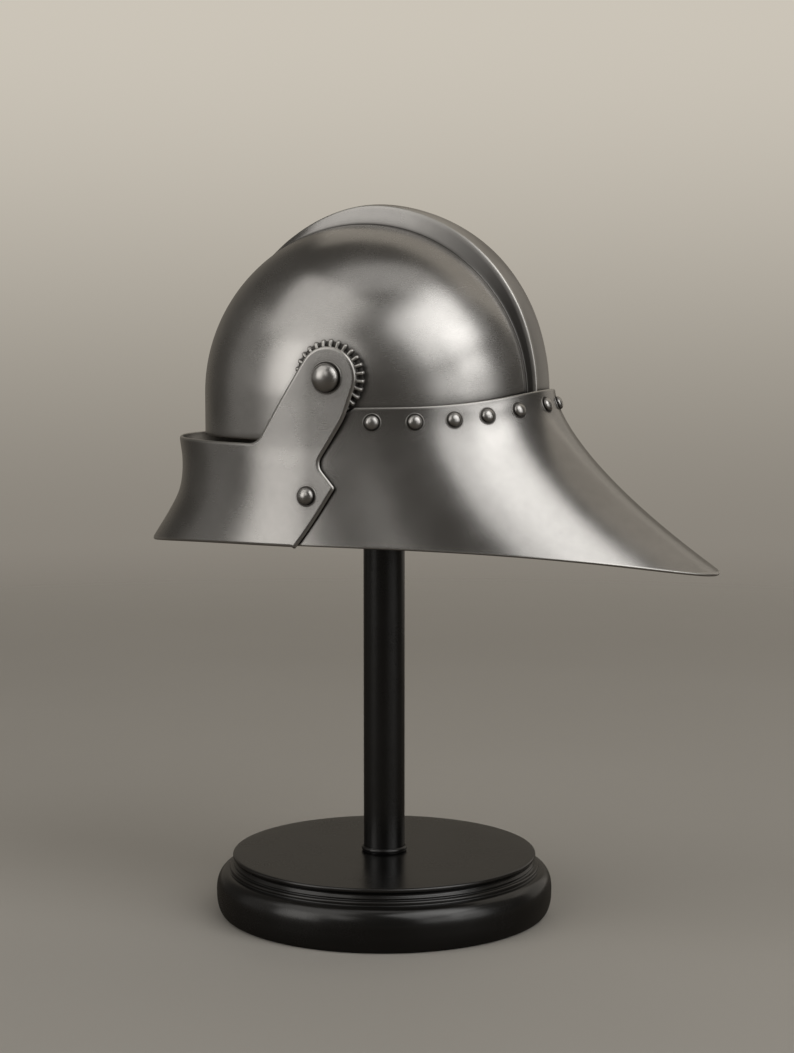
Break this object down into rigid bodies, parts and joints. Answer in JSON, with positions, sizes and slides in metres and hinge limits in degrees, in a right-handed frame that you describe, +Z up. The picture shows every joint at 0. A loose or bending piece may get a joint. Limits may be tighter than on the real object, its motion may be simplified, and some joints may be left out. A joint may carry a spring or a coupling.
{
  "type": "sallet helmet on display stand",
  "caption": "Open-faced steel helmet with a combed skull, a flared tail plate and a visor that swings up on two toothed pivots, resting on a plain turned display stand.",
  "frame": {"origin": "centre of the stand's foot, on the surface that it stands on, under the pole", "axes": "+Z up along the pole, -Y towards the helmet's front, +X towards the wearer's left"},
  "size_m": [0.2386, 0.4138, 0.498],
  "materials": {
    "helmet_steel": "satin, lightly brushed and oiled plate",
    "rivet_steel": "polished domed heads and toothed washers",
    "stand_black": "satin black paint over turned wood"
  },
  "bodies": {
    "stand_and_helmet": {"pivot_rivet_left": "rivet_steel", "pivot_rivet_right": "rivet_steel", "rosette_left": "rivet_steel", "rosette_right": "rivet_steel", "skull": "helmet_steel", "stand_base": "stand_black", "stand_collar": "stand_black", "stand_head": "stand_black", "stand_pole": "stand_black", "tail_plate": "helmet_steel", "tail_rivet_01": "rivet_steel", "tail_rivet_02": "rivet_steel", "tail_rivet_03": "rivet_steel", "tail_rivet_04": "rivet_steel", "tail_rivet_05": "rivet_steel", "tail_rivet_06": "rivet_steel", "tail_rivet_07": "rivet_steel", "tail_rivet_08": "rivet_steel", "tail_rivet_09": "rivet_steel", "tail_rivet_10": "rivet_steel", "tail_rivet_11": "rivet_steel", "tail_rivet_12": "rivet_steel"},
    "visor": {"visor": "helmet_steel", "visor_rivet_left": "rivet_steel", "visor_rivet_right": "rivet_steel"}
  },
  "joints": [
    {"name": "visor_pivot", "type": "hinge", "parent": "stand_and_helmet", "child": "visor", "pos_m": [0, 0.0042, 0.3816], "axis": [-1, 0, 0], "range_deg": [0, 60]}
  ]
}
